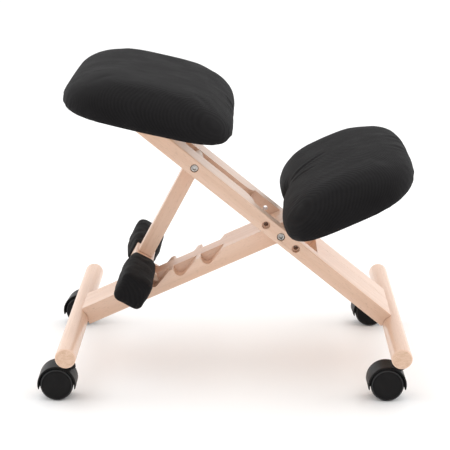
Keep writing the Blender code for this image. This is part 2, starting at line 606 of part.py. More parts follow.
# ---- assembly ------------------------------------------------------------------------------------
def build():
    for obj in list(bpy.data.objects):
        bpy.data.objects.remove(obj, do_unlink=True)

    beech = material("beech", (0.76, 0.60, 0.47), 0.42)
    plywood = material("plywood", (0.62, 0.48, 0.34), 0.7)
    fabric = material("black_fabric", (0.02, 0.02, 0.022), 0.9)
    black = material("black_plastic", (0.02, 0.02, 0.022), 0.45)
    nylon = material("nylon", (0.75, 0.74, 0.70), 0.5)
    steel = material("steel", (0.70, 0.69, 0.67), 0.3, 1.0)

    seat_axes = empty("seat_beam_axes", location=CROSSING, rotation=(0, SEAT_PITCH, 0))
    knee_axes = empty("knee_beam_axes", location=CROSSING, rotation=(0, -KNEE_PITCH, 0))
    seat_plane = empty("seat_plane", seat_axes, (SEAT_BEAM_TOP, 0, 0), (0, SEAT_TILT - SEAT_PITCH, 0))
    knee_plane = empty("knee_plane", knee_axes, (0, 0, KNEE_BEAM_HALF))
    front_axle = empty("front_axle", seat_axes, (SEAT_BEAM_AXLE, 0, 0), (0, -SEAT_PITCH, 0))
    rear_axle = empty("rear_axle", knee_axes, (KNEE_BEAM_AXLE, 0, 0), (0, KNEE_PITCH, 0))
    strut_axes = empty("strut_axes", seat_axes, (STRUT_PIVOT, 0, 0), (0, STRUT_LEAN - SEAT_PITCH, 0))

    seat_beam(seat_axes, seat_plane, beech)
    knee_beam(knee_axes, beech)
    shank_end = SEAT_BEAM_WIDTH / 2 - COUNTERBORE_DEPTH + 0.0018
    for name, along in (("pivot", 0.0), ("strut", STRUT_PIVOT)):
        hex_socket_bolt(f"{name}_bolt", seat_axes, along, steel, shank_end)
        sleeve_nut(f"{name}_nut", seat_axes, along, steel)
    for side in ("right", "left"):
        washer(f"pivot_washer_{side}", seat_axes, side, nylon)

    front_ends = empty("front_crossbar_axes", seat_axes, (SEAT_BEAM_AXLE, 0, 0))
    rear_ends = empty("rear_crossbar_axes", knee_axes, (KNEE_BEAM_AXLE, 0, 0))
    front = crossbar("front_crossbar", front_ends, beech, SEAT_SCREW_SIDE, 1)
    rear = crossbar("rear_crossbar", rear_ends, beech, KNEE_SCREW_SIDE, -1)
    crossbar_screws("front_crossbar", front_ends, steel, SEAT_SCREW_SIDE, 1)
    crossbar_screws("rear_crossbar", rear_ends, steel, KNEE_SCREW_SIDE, -1)

    sides = ("right", "left")
    seat_screws = [(SEAT_SCREW_X, side_sign(side) * SEAT_SCREW_SIDE) for side in sides]
    knee_screws = [(KNEE_SCREW_X, side_sign(side) * KNEE_SCREW_SIDE) for side in sides]
    board("seat_board", SEAT_CUSHION, seat_plane, plywood, seat_screws)
    board("knee_board", KNEE_CUSHION, knee_plane, plywood, knee_screws)
    for side, seat_at, knee_at in zip(sides, seat_screws, knee_screws):
        board_screw(f"seat_board_screw_{side}", seat_plane, *seat_at, SEAT_SCREW_LENGTH, steel)
        board_screw(f"knee_board_screw_{side}", knee_plane, *knee_at, KNEE_SCREW_LENGTH, steel)
    cushion("seat_cushion", SEAT_CUSHION, seat_plane, fabric)
    cushion("knee_cushion", KNEE_CUSHION, knee_plane, fabric)

    strut(strut_axes, beech, steel)
    foot_bar_teeth(strut_axes, beech)
    foot_pads(strut_axes, fabric)

    for end, axle, bar in (("front", front_axle, front), ("rear", rear_axle, rear)):
        for side in ("right", "left"):
            name = f"{end}_{side}"
            y = side_sign(side) * STEM_SIDE
            cut(bar, stem_socket(f"{name}_stem_socket", axle, y, black))
            turn = (0, 0, math.radians(SWIVEL[name]))
            swivel = empty(f"{name}_swivel", axle, (0, y, -AXLE_HEIGHT), turn)
            caster(f"{name}_caster", swivel, black, steel)


build()
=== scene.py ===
"""Looks, light and camera for the kneeling chair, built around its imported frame.

The user faces +X, the right side is -Y and the casters stand on Z = 0. Sizes are in metres.
"""
import json
import math

import bmesh
import bpy
from mathutils import Matrix, Vector, noise


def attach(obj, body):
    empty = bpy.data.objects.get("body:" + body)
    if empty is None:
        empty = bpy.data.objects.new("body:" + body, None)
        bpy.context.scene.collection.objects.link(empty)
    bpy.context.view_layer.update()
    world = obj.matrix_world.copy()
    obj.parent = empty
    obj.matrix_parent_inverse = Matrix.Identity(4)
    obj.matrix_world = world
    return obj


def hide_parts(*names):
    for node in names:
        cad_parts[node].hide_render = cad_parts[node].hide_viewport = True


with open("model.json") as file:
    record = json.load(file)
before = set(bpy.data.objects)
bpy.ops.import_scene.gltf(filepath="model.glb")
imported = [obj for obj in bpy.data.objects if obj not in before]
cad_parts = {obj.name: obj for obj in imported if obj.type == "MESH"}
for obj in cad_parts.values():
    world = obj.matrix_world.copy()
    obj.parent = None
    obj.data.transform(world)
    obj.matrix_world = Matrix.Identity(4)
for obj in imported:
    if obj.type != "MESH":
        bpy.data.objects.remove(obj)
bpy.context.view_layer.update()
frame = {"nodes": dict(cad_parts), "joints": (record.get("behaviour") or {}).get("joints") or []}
NODES = frame["nodes"]
SCENE = bpy.context.scene
SIDES = (("right", -1), ("left", 1))
ENDS = (("front", "seat_frame"), ("rear", "knee_frame"))

# ---- places that the frame's pieces share --------------------------------------------------------
CROSSING = Vector((0.0799, 0.0, 0.2100))
SEAT_PITCH = math.radians(39.3)
KNEE_PITCH = math.radians(24.2)
SEAT_TILT = math.radians(13.0)
STRUT_LEAN = math.radians(28.2)
STRUT_ALONG = -0.1634                       # strut bolt's place along the seat beam


def pitched(origin, angle):
    return Matrix.Translation(origin) @ Matrix.Rotation(angle, 4, "Y")


SEAT_BEAM = pitched(CROSSING, SEAT_PITCH)
KNEE_BEAM = pitched(CROSSING, -KNEE_PITCH)
SEAT_PLANE = SEAT_BEAM @ pitched((-0.312, 0, 0), SEAT_TILT - SEAT_PITCH)    # boards' undersides
KNEE_PLANE = KNEE_BEAM @ Matrix.Translation((0, 0, 0.0134))
STRUT = SEAT_BEAM @ pitched((STRUT_ALONG, 0, 0), STRUT_LEAN - SEAT_PITCH)

SEAT_CUSHION = dict(length=0.257, width=0.424, centre=0.054, height=0.053, brim=0.010,
                    front_waist=0.0085, rear_waist=0.002, corner=4.2)
KNEE_CUSHION = dict(length=0.228, width=0.424, centre=0.1075, height=0.053, brim=0.016,
                    front_waist=0.002, rear_waist=0.024, corner=3.2)
CROWN_INSET = 0.088                         # how far the crown's curve runs in from the edge
CROWN_END = math.radians(82)                # where the curve stops, just short of level
COVER_SHRINK = 0.0004                       # left for the cover's swelling

ADJUST_PITCH = 0.0284                       # between the pivot bolt and each unused hole
FOOT_BAR_TOP = -0.1640
FOOT_BAR = (0.0155, 0.0145)                 # half sizes of the bar's section
PAD_SAG = dict(right=0.0052, left=0.0008)   # how far each pad droops off the bar

BOLT_FACE = -0.0618                         # across the seat beam: the head's outer face,
BOLT_SEAT = -0.0563                         # and the face that bears on the rail

WHEEL_RADIUS = 0.0237
WHEEL_INNER, WHEEL_OUTER = 0.0060, 0.0180   # faces of a wheel, from the caster's middle
TRAIL = 0.0173                              # from the stem back to the axle
HOOD_MIDDLE = 0.0264                        # radius that the hood's ends thin towards
SWIVEL = dict(rear_right=1.0, rear_left=-5.0, front_right=1.0, front_left=3.0)


# ---- node helpers --------------------------------------------------------------------------------
class Nodes:
    """Small builder for one material's node tree."""

    def __init__(self, name):
        self.material = bpy.data.materials.new(name)
        self.material.use_nodes = True
        self.tree = self.material.node_tree
        self.shader = self.tree.nodes["Principled BSDF"]
        self.place = self.tree.nodes.new("ShaderNodeTexCoord")

    def node(self, kind, **settings):
        made = self.tree.nodes.new(kind)
        for key, value in settings.items():
            setattr(made, key, value)
        return made

    def link(self, source, target):
        self.tree.links.new(source, target)

    def fill(self, node, *values):
        for socket, value in zip(node.inputs, values):
            if isinstance(value, bpy.types.NodeSocket):
                self.link(value, socket)
            elif value is not None:
                socket.default_value = value
        return node

    def maths(self, operation, a, b=0.0, clamp=False):
        node = self.node("ShaderNodeMath", operation=operation, use_clamp=clamp)
        return self.fill(node, a, b).outputs[0]

    def vector(self, operation, a, b):
        node = self.node("ShaderNodeVectorMath", operation=operation)
        self.fill(node, a, b)
        return node.outputs["Value" if operation == "DOT_PRODUCT" else "Vector"]

    def turned(self, vector, rotation, offset=(0, 0, 0)):
        node = self.node("ShaderNodeMapping")
        self.link(vector, node.inputs["Vector"])
        node.inputs["Rotation"].default_value = rotation
        node.inputs["Location"].default_value = offset
        return node.outputs[0]

    def noise(self, vector, scale=1.0, detail=2.0, rough=0.5):
        node = self.node("ShaderNodeTexNoise")
        self.link(vector, node.inputs["Vector"])
        node.inputs["Scale"].default_value = scale
        node.inputs["Detail"].default_value = detail
        node.inputs["Roughness"].default_value = rough
        return node.outputs["Fac"]

    def span(self, value, low, high, to_low=0.0, to_high=1.0):
        node = self.node("ShaderNodeMapRange", interpolation_type="SMOOTHSTEP")
        return self.fill(node, value, low, high, to_low, to_high).outputs[0]

    def mix(self, factor, a, b, blend="MIX"):
        node = self.node("ShaderNodeMix", data_type="RGBA", blend_type=blend)
        for socket, value in ((node.inputs[0], factor), (node.inputs[6], a), (node.inputs[7], b)):
            if isinstance(value, bpy.types.NodeSocket):
                self.link(value, socket)
            elif isinstance(value, tuple):
                socket.default_value = (*value, 1.0)
            else:
                socket.default_value = value
        return node.outputs[2]

    def bump(self, height, strength, distance, below=None):
        node = self.node("ShaderNodeBump")
        node.inputs["Strength"].default_value = strength
        node.inputs["Distance"].default_value = distance
        self.link(height, node.inputs["Height"])
        if below:
            self.link(below, node.inputs["Normal"])
        return node.outputs[0]

    def finish(self, colour=None, roughness=None, normal=None, **constants):
        for value, name in ((colour, "Base Color"), (roughness, "Roughness"), (normal, "Normal")):
            if isinstance(value, bpy.types.NodeSocket):
                self.link(value, self.shader.inputs[name])
            elif value is not None:
                self.shader.inputs[name].default_value = value
        for name, value in constants.items():
            self.shader.inputs[name.replace("_", " ").title().replace("Ior", "IOR")].default_value = value
        return self.material


# ---- materials -----------------------------------------------------------------------------------
def beech(name, grain, rotation, tint=1.0, offset=0.0):
    """Lacquered beech: grain is the direction its fibres run, and rotation brings that onto X."""
    def shade(*colour):
        return tuple(c * tint for c in colour)

    m = Nodes(name)
    local = m.turned(m.place.outputs["Object"], rotation, (offset, 0.37 * offset, 0.61 * offset))
    bands = m.noise(m.vector("MULTIPLY", local, (2.2, 62.0, 62.0)), detail=3.0, rough=0.55)
    fibres = m.noise(m.vector("MULTIPLY", local, (11.0, 520.0, 520.0)), detail=3.0, rough=0.6)
    rays = m.noise(m.vector("MULTIPLY", local, (150.0, 1100.0, 1100.0)), detail=1.0)
    blotch = m.noise(m.vector("MULTIPLY", local, (7.0, 24.0, 24.0)), detail=2.0)
    light, deep = shade(0.800, 0.560, 0.425), shade(0.725, 0.470, 0.330)
    colour = m.mix(m.span(bands, 0.36, 0.72), light, deep)
    colour = m.mix(m.span(blotch, 0.45, 0.75, 0.0, 0.30), colour, shade(0.700, 0.485, 0.365))
    colour = m.mix(m.span(fibres, 0.50, 0.78, 0.0, 0.26), colour, shade(0.520, 0.345, 0.225))
    colour = m.mix(m.span(rays, 0.63, 0.74, 0.0, 0.42), colour, shade(0.440, 0.270, 0.165))
    along = m.maths("ABSOLUTE", m.vector("DOT_PRODUCT", m.place.outputs["Normal"], grain))
    pores = m.noise(m.vector("MULTIPLY", local, (90.0, 900.0, 900.0)), detail=2.0)
    rings = m.noise(m.vector("MULTIPLY", local, (2.0, 140.0, 300.0)), detail=2.0)
    end = m.mix(m.span(rings, 0.35, 0.70), shade(0.720, 0.490, 0.350), shade(0.640, 0.415, 0.280))
    end = m.mix(m.span(pores, 0.55, 0.75, 0.0, 0.55), end, shade(0.400, 0.235, 0.135))
    colour = m.mix(m.span(along, 0.72, 0.94), colour, end)
    roughness = m.span(fibres, 0.2, 0.8, 0.36, 0.50)
    normal = m.bump(fibres, 0.22, 0.0004, m.bump(rays, 0.10, 0.0003))
    return m.finish(colour, roughness, normal, coat_weight=0.55, coat_roughness=0.24)


def plywood():
    m = Nodes("birch_plywood")
    local = m.place.outputs["Object"]
    grain = m.noise(m.vector("MULTIPLY", local, (160.0, 5.0, 160.0)), detail=4.0, rough=0.6)
    knots = m.noise(m.vector("MULTIPLY", local, (26.0, 9.0, 26.0)), detail=2.0)
    colour = m.mix(m.span(grain, 0.35, 0.7), (0.70, 0.54, 0.37), (0.52, 0.36, 0.22))
    colour = m.mix(m.span(knots, 0.62, 0.78, 0.0, 0.5), colour, (0.36, 0.23, 0.13))
    return m.finish(colour, m.span(grain, 0.2, 0.8, 0.62, 0.78), m.bump(grain, 0.3, 0.0004))


def ribbed_fabric(name, rib, period=0.0029):
    """Black knit with fine ribs; rib is the direction across them."""
    m = Nodes(name)
    local = m.place.outputs["Object"]
    drift = m.maths("MULTIPLY", m.noise(local, 16.0, 1.0), 0.010)
    across = m.maths("ADD", m.vector("DOT_PRODUCT", local, tuple(rib)), drift)
    wave = m.maths("SINE", m.maths("MULTIPLY", across, 2 * math.pi / period))
    height = m.span(wave, -1.0, 1.0)
    loops = m.noise(local, 1500.0, 2.0)
    wear = m.noise(local, 22.0, 4.0, 0.6)
    # colour follows the rib height: painted shade in the hollows between ribs, lighter on their crests
    colour = m.mix(m.maths("MULTIPLY", height, 0.55), (0.0062, 0.0056, 0.0060), (0.0108, 0.0100, 0.0106))
    colour = m.mix(m.span(wear, 0.40, 0.72, 0.0, 0.45), colour, (0.0155, 0.0148, 0.0154))
    colour = m.mix(m.span(loops, 0.50, 0.80, 0.0, 0.30), colour, (0.0220, 0.0214, 0.0222))
    normal = m.bump(height, 0.30, 0.0006, m.bump(loops, 0.30, 0.0004))
    return m.finish(colour, m.span(wear, 0.3, 0.7, 0.72, 0.86), normal, specular_ior_level=0.09,
                    sheen_weight=0.025, sheen_roughness=0.40, sheen_tint=(0.90, 0.90, 0.92, 1.0))


def plastic(name, colour, roughness, grain=1100.0, depth=0.00008):
    m = Nodes(name)
    local = m.place.outputs["Object"]
    fine = m.noise(local, grain, 2.0)
    scuff = m.noise(local, 60.0, 4.0, 0.65)
    shade = m.mix(m.span(scuff, 0.45, 0.75, 0.0, 0.5), colour, tuple(1.7 * c for c in colour))
    rough = m.span(scuff, 0.3, 0.75, roughness, roughness + 0.12)
    return m.finish(shade, rough, m.bump(fine, 0.3, depth), specular_ior_level=0.09)


def tread_rubber():
    m = Nodes("wheel_tread")
    local = m.place.outputs["Object"]
    dust = m.noise(local, 180.0, 3.0, 0.6)
    colour = m.mix(m.span(dust, 0.48, 0.72, 0.0, 0.6), (0.016, 0.016, 0.017), (0.040, 0.038, 0.036))
    return m.finish(colour, m.span(dust, 0.3, 0.7, 0.55, 0.72), m.bump(dust, 0.2, 0.0002))


def zinc_steel(name="zinc_steel", roughness=0.26, tint=1.0):
    m = Nodes(name)
    local = m.place.outputs["Object"]
    fine = m.noise(local, 900.0, 3.0, 0.6)
    blush = m.noise(local, 120.0, 2.0)
    colour = m.mix(m.span(blush, 0.4, 0.7), tuple(c * tint for c in (0.50, 0.48, 0.46)),
                   tuple(c * tint for c in (0.36, 0.34, 0.32)))
    rough = m.span(fine, 0.3, 0.7, roughness - 0.06, roughness + 0.10)
    return m.finish(colour, rough, m.bump(fine, 0.15, 0.00006), metallic=1.0)


Y_TO_X = (0.0, 0.0, -math.pi / 2)
ACROSS = (0.0, 1.0, 0.0)
SEAT_GRAIN = tuple(SEAT_BEAM.to_3x3() @ Vector((1, 0, 0)))
KNEE_GRAIN = tuple(KNEE_BEAM.to_3x3() @ Vector((1, 0, 0)))
STRUT_GRAIN = tuple(STRUT.to_3x3() @ Vector((0, 0, 1)))
SEAT_TURN = (0.0, -SEAT_PITCH, 0.0)
KNEE_TURN = (0.0, KNEE_PITCH, 0.0)
STRUT_TURN = (0.0, math.pi / 2 - STRUT_LEAN, 0.0)

STEEL = zinc_steel()
DARK_STEEL = zinc_steel("staple_wire", 0.42, 0.35)
PLYWOOD = plywood()
BLACK_PLASTIC = plastic("caster_plastic", (0.0095, 0.0090, 0.0090), 0.36)
WHEEL_PLASTIC = plastic("wheel_plastic", (0.0095, 0.0090, 0.0092), 0.34)
TREAD = tread_rubber()
NYLON = plastic("washer_nylon", (0.62, 0.61, 0.57), 0.45)
SEAT_FABRIC = ribbed_fabric("seat_fabric", SEAT_PLANE.to_3x3() @ Vector((0.52, -0.50, 0.69)))
KNEE_FABRIC = ribbed_fabric("knee_fabric", KNEE_PLANE.to_3x3() @ Vector((-0.45, -0.34, 0.83)))
PAD_FABRIC = ribbed_fabric("pad_fabric", STRUT.to_3x3() @ Vector((0.30, 0.90, 0.30)), 0.0024)


# ---- mesh helpers --------------------------------------------------------------------------------
def add_object(name, bm, materials, matrix=None, sharp=35):
    if matrix is not None:
        bm.transform(matrix)
    bmesh.ops.recalc_face_normals(bm, faces=bm.faces)
    mesh = bpy.data.meshes.new(name)
    bm.to_mesh(mesh)
    bm.free()
    for material in materials:
        mesh.materials.append(material)
    mesh.shade_smooth()
    mesh.set_sharp_from_angle(angle=math.radians(sharp))
    obj = bpy.data.objects.new(name, mesh)
    SCENE.collection.objects.link(obj)
    return obj


def settle(obj, body, slot, *nodes):
    """Ride on a body and stand for the named CAD nodes; slot is not used."""
    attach(obj, body)
    if nodes:
        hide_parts(*nodes)
    return obj


def skin(bm, rings, caps=(True, True), material=0):
    """Join closed rings of equal length; caps say whether the ends are closed."""
    made = []
    for lower, upper in zip(rings, rings[1:]):
        for i, vertex in enumerate(lower):
            j = (i + 1) % len(lower)
            made.append(bm.faces.new((vertex, lower[j], upper[j], upper[i])))
    for ring, closed in ((rings[0], caps[0]), (rings[-1], caps[1])):
        if closed:
            made.append(bm.faces.new(ring))
    for face in made:
        face.material_index = material
    return made


def circle(bm, radius, along, segments, axis="Y"):
    """Ring of new points round an axis, at a distance along it."""
    ring = []
    for step in range(segments):
        angle = 2 * math.pi * step / segments
        a, b = radius * math.cos(angle), radius * math.sin(angle)
        ring.append(bm.verts.new({"Y": (a, along, b), "Z": (a, b, along), "X": (along, a, b)}[axis]))
    return ring


def lathe(bm, profile, segments=64, axis="Y", materials=None):
    """Turned solid through (radius, position) points; the first and last close on the axis."""
    rings = [circle(bm, radius, along, segments, axis) for radius, along in profile]
    for k, (lower, upper) in enumerate(zip(rings, rings[1:])):
        skin(bm, [lower, upper], (False, False), materials[k] if materials else 0)
    bm.faces.new(rings[0])
    bm.faces.new(rings[-1])


def cad_mesh(node):
    """A CAD node's mesh with its triangles merged back into flat faces."""
    bm = bmesh.new()
    bm.from_mesh(NODES[node].data)
    bmesh.ops.remove_doubles(bm, verts=bm.verts, dist=1e-5)
    bmesh.ops.dissolve_limit(bm, angle_limit=math.radians(0.6), verts=bm.verts, edges=bm.edges)
    return bm


def eased(node, body, material, width=0.0014, choose=None, slot="beech", shortest=0.006):
    """Copy of a wooden CAD node with its long edges rounded over."""
    bm = cad_mesh(node)
    edges = []
    for edge in bm.edges:
        if len(edge.link_faces) != 2 or edge.calc_length() < shortest:
            continue
        if edge.calc_face_angle(0) < math.radians(38) or not edge.is_convex:
            continue
        if choose is None or choose(edge.verts[0].co, edge.verts[1].co):
            edges.append(edge)
    bmesh.ops.bevel(bm, geom=edges, offset=width, segments=3, profile=0.5, affect="EDGES",
                    clamp_overlap=True)
    obj = add_object(f"{node}_wood", bm, [material], sharp=32)
    normals = obj.modifiers.new("normals", "WEIGHTED_NORMAL")
    normals.weight = 100
    normals.keep_sharp = True
    apply_modifiers(obj)
    return settle(obj, body, slot, node)


# ---- wooden frame --------------------------------------------------------------------------------
def outer_edge(limit):
    """Edges that lie outside a distance from the middle, or run across the piece."""
    def choose(a, b):
        return min(abs(a.y), abs(b.y)) > limit or abs(a.y - b.y) > 0.002
    return choose


def wooden_frame():
    for index, (side, sign) in enumerate(SIDES):
        rail = beech(f"beech_rail_{side}", SEAT_GRAIN, SEAT_TURN, 1.0, 0.31 * index)
        eased(f"seat_rail_{side}", "seat_frame", rail, choose=outer_edge(0.034))
        cheek = beech(f"beech_cheek_{side}", KNEE_GRAIN, KNEE_TURN, 0.985, 0.53 + 0.29 * index)
        eased(f"knee_cheek_{side}", "knee_frame", cheek, 0.0012, outer_edge(0.030), shortest=0.0012)
    core = beech("beech_core", SEAT_GRAIN, SEAT_TURN, 0.97, 0.83)
    for node in ("seat_rail_core_upper", "seat_rail_core_lower"):
        eased(node, "seat_frame", core, 0.0004)
    rib = beech("beech_rib", KNEE_GRAIN, KNEE_TURN, 0.96, 1.27)
    eased("knee_rib", "knee_frame", rib, 0.0004)
    for index, (end, body) in enumerate(ENDS):
        bar = beech(f"beech_{end}_crossbar", ACROSS, Y_TO_X, 0.97, 1.61 + 0.4 * index)
        eased(f"{end}_crossbar", body, bar, 0.0004, shortest=0.1)
    strut = beech("beech_strut", STRUT_GRAIN, STRUT_TURN, 0.93, 2.13)
    eased("strut", "strut_frame", strut, 0.0013, shortest=0.0015)
    bar = beech("beech_foot_bar", ACROSS, Y_TO_X, 0.97, 2.57)
    eased("foot_bar", "strut_frame", bar, 0.0022)
    for side, _ in SIDES:
        eased(f"foot_bar_tooth_{side}", "strut_frame", bar, 0.0008)


# ---- cushions ------------------------------------------------------------------------------------
def cushion_outline(size, inset, count):
    """Rounded rectangle with its front and rear edges drawn in at the middle."""
    half_x = size["length"] / 2 - inset
    half_y = size["width"] / 2 - inset
    power = 2.0 / size["corner"]
    points = []
    for step in range(count):
        angle = 2 * math.pi * step / count
        c, s = math.cos(angle), math.sin(angle)
        x = half_x * math.copysign(abs(c) ** power, c)
        y = half_y * math.copysign(abs(s) ** power, s)
        waist = size["front_waist"] if x > 0 else size["rear_waist"]
        points.append((x - waist * (1 - (y / half_y) ** 2) * (x / half_x) + size["centre"], y))
    return points


def cushion_form(size, shrink):
    """The cushion's foam as a closed mesh, a little smaller than the finished cushion."""
    brim, height = size["brim"], size["height"] - shrink
    levels = [(0.055, 0.0085), (0.020, 0.0085), (0.012, -0.0006), (0.005, -0.0006), (0.0006, 0.003),
              (-0.0005, 0.6 * brim)]
    for step in range(13):
        angle = CROWN_END * step / 12
        levels.append((CROWN_INSET * (1 - math.cos(angle)), brim + (height - brim) * math.sin(angle)))
    levels.append((0.80 * CROWN_INSET + 0.012, height))
    bm = bmesh.new()
    rings = []
    for inset, z in levels:
        outline = cushion_outline(size, inset + shrink, 96)
        rings.append([bm.verts.new((x, y, z)) for x, y in outline])
    skin(bm, rings)
    return bm


def remesh(obj, voxel):
    modifier = obj.modifiers.new("voxels", "REMESH")
    modifier.mode = "VOXEL"
    modifier.voxel_size = voxel
    apply_modifiers(obj)


def apply_modifiers(obj):
    graph = bpy.context.evaluated_depsgraph_get()
    mesh = bpy.data.meshes.new_from_object(obj.evaluated_get(graph), depsgraph=graph)
    old = obj.data
    obj.modifiers.clear()
    obj.data = mesh
    bpy.data.meshes.remove(old)


def smooth(obj, factor, repeat):
    modifier = obj.modifiers.new("smooth", "SMOOTH")
    modifier.factor = factor
    modifier.iterations = repeat
    apply_modifiers(obj)


CLOTH_FRAMES = 20
SINK_KEPT_OUT = 0.85                        # share of any inward travel that is taken back


def puff(obj, pinned, cap, pressure=4.0, slack=0.0):
    """Let the cover swell as cloth, held where pinned says so.

    Each point's travel is capped, and most of any travel inwards is taken back.
    """
    start = [(v.co.copy(), v.normal.copy()) for v in obj.data.vertices]
    group = obj.vertex_groups.new(name="pins")
    group.add([v.index for v in obj.data.vertices if pinned(v)], 1.0, "REPLACE")
    cloth = obj.modifiers.new("cloth", "CLOTH")
    cloth.settings.vertex_group_mass = "pins"
    cloth.settings.use_pressure = True
    cloth.settings.uniform_pressure_force = pressure
    cloth.settings.shrink_min = -slack
    cloth.settings.effector_weights.gravity = 0.0
    cloth.settings.quality = 5
    cloth.settings.bending_stiffness = 0.6
    cloth.point_cache.frame_start = 1
    cloth.point_cache.frame_end = CLOTH_FRAMES
    for step in range(1, CLOTH_FRAMES + 1):
        SCENE.frame_set(step)
    apply_modifiers(obj)
    SCENE.frame_set(1)
    moved = []
    for vertex, (before, normal) in zip(obj.data.vertices, start):
        travel = vertex.co - before
        sink = min(0.0, travel.dot(normal))
        travel -= normal * (SINK_KEPT_OUT * sink)
        moved.extend(before + travel * min(1.0, cap / max(travel.length, 1e-9)))
    obj.data.vertices.foreach_set("co", moved)
    obj.data.update()


def displace(obj, offset):
    """Move every point by offset(place, normal)."""
    moved = []
    for place, normal in [(v.co.copy(), v.normal.copy()) for v in obj.data.vertices]:
        moved.extend(place + offset(place, normal))
    obj.data.vertices.foreach_set("co", moved)
    obj.data.update()


LIPPED_BELOW = 0.010


def press(obj, grooves):
    """Sculpted creases: (start, end, width, depth) in the piece's own frame.

    Narrow creases get raised lips; a wide one is a plain hollow.
    """
    lines = [(Vector(start), Vector(end) - Vector(start), width, depth)
             for start, end, width, depth in grooves]

    def offset(place, normal):
        move = 0.0
        for start, span, width, depth in lines:
            t = max(0.0, min(1.0, (place - start).dot(span) / span.length_squared))
            gap = (place - start - span * t).length / width
            if gap < 4.0:
                fade = math.sin(math.pi * (0.12 + 0.76 * t))
                lips = 0.45 if width < LIPPED_BELOW else 0.0
                move -= depth * fade * (math.exp(-gap * gap) - lips * math.exp(-((gap - 1.9) ** 2)))
        return normal * move

    displace(obj, offset)


def gather(obj, size, spacing=0.036, depth=0.0010, reach=0.016):
    """Pull the lower edge in at each staple that holds the turned-under cover."""
    half_x, half_y = size["length"] / 2, size["width"] / 2
    count = round(4 * (half_x + half_y) / spacing)

    def offset(place, normal):
        fade = max(0.0, 1.0 - place.z / reach)
        turn = math.atan2(place.y / half_y, (place.x - size["centre"]) / half_x)
        pull = (0.5 + 0.5 * math.cos(count * turn)) ** 2
        return Vector((normal.x, normal.y, 0)) * (-depth * pull * fade)

    displace(obj, offset)


def rumple(obj, amount, size, rise=0.0):
    """Loose cloth: shallow folds of a given size over the whole piece, lifted by rise."""
    def offset(place, normal):
        fold = noise.noise(place / size) + 0.5 * noise.noise(place / (0.45 * size))
        return normal * (amount * (rise + fold))

    displace(obj, offset)


def subdivide(obj, levels=1):
    modifier = obj.modifiers.new("subdivision", "SUBSURF")
    modifier.levels = levels
    modifier.render_levels = levels
    apply_modifiers(obj)


# creases, and the knee cushion's hollow at its rear waist: from, to, half width and depth
SEAT_CREASES = [((0.176, -0.040, 0.012), (0.158, -0.052, 0.046), 0.0050, 0.0014),
                ((0.175, 0.010, 0.012), (0.157, 0.000, 0.047), 0.0060, 0.0018),
                ((0.178, 0.062, 0.012), (0.163, 0.052, 0.044), 0.0050, 0.0012)]
KNEE_CREASES = [((0.012, 0.020, -0.002), (0.030, 0.016, 0.044), 0.0200, 0.0095),
                ((0.029, 0.012, 0.044), (0.100, 0.036, 0.054), 0.0045, 0.0014),
                ((0.028, -0.004, 0.042), (0.084, -0.014, 0.054), 0.0040, 0.0011),
                ((0.222, -0.030, 0.016), (0.204, -0.028, 0.046), 0.0070, 0.0012),
                ((0.222, 0.042, 0.016), (0.204, 0.036, 0.046), 0.0070, 0.0012)]


def cushion_cover(name, size, plane, body, fabric, grooves):
    obj = add_object(f"{name}_cover", cushion_form(size, COVER_SHRINK), [fabric], sharp=180)
    remesh(obj, 0.006)
    puff(obj, lambda v: v.co.z < 0.0030 or v.normal.z < -0.3, 0.0016)
    smooth(obj, 0.5, 2)
    subdivide(obj)
    press(obj, grooves)
    gather(obj, size)
    rumple(obj, 0.0003, 0.035)
    obj.data.transform(plane)
    obj.data.shade_smooth()
    settle(obj, body, "black_fabric", name)
    return obj


def hem(name, size, plane, body, fabric, skip):
    """Cover turned under the board, with its staples; skip says where a beam presses it flat."""
    bm = bmesh.new()
    count = 180
    rings = []
    for k, (inset, z) in enumerate(((0.0045, 0.0016), (0.0075, -0.0002), (0.014, -0.0006),
                                    (0.021, -0.0008), (0.028, -0.0006), (0.031, -0.0001))):
        ring = []
        for step, (x, y) in enumerate(cushion_outline(size, inset, count)):
            fold = noise.noise(Vector((step * 0.55, 0.3 * k, size["centre"] * 50)))
            level = z - 0.0010 * max(0.0, fold) * min(1.0, k / 2)
            edge = 0.0015 * fold if k > 3 else 0.0
            if skip(x, y):
                level = 0.0011
            ring.append(bm.verts.new((x + edge, y + edge, level)))
        rings.append(ring)
    skin(bm, rings, (False, False))
    bmesh.ops.solidify(bm, geom=bm.faces[:], thickness=-0.0007)
    obj = add_object(f"{name}_hem", bm, [fabric], plane, 60)
    settle(obj, body, "black_fabric")

    bm = bmesh.new()
    outline = cushion_outline(size, 0.0215, 360)
    travelled = 0.0
    for (x0, y0), (x1, y1) in zip(outline, outline[1:] + outline[:1]):
        step = math.hypot(x1 - x0, y1 - y0)
        travelled += step
        if travelled < 0.034 or skip(x0, y0):
            continue
        travelled = 0.0
        turn = math.atan2(y1 - y0, x1 - x0) + 0.25
        place = Matrix.Translation((x0, y0, -0.0021)) @ Matrix.Rotation(turn, 4, "Z")
        bmesh.ops.create_cube(bm, size=1.0, matrix=place @ Matrix.Diagonal((0.0105, 0.0011, 0.0009, 1)))
    bmesh.ops.bevel(bm, geom=bm.edges[:], offset=0.0002, segments=2, affect="EDGES")
    staples = add_object(f"{name}_staples", bm, [DARK_STEEL], plane)
    settle(staples, body, "steel")


# ---- foot pads -----------------------------------------------------------------------------------
def rounded_box(half_x, half_z, radius, steps=6):
    points = []
    for quarter, (sx, sz) in enumerate(((1, 1), (-1, 1), (-1, -1), (1, -1))):
        for step in range(steps + 1):
            angle = math.pi / 2 * (quarter + step / steps)
            points.append((sx * (half_x - radius) + radius * math.cos(angle),
                           sz * (half_z - radius) + radius * math.sin(angle)))
    return points


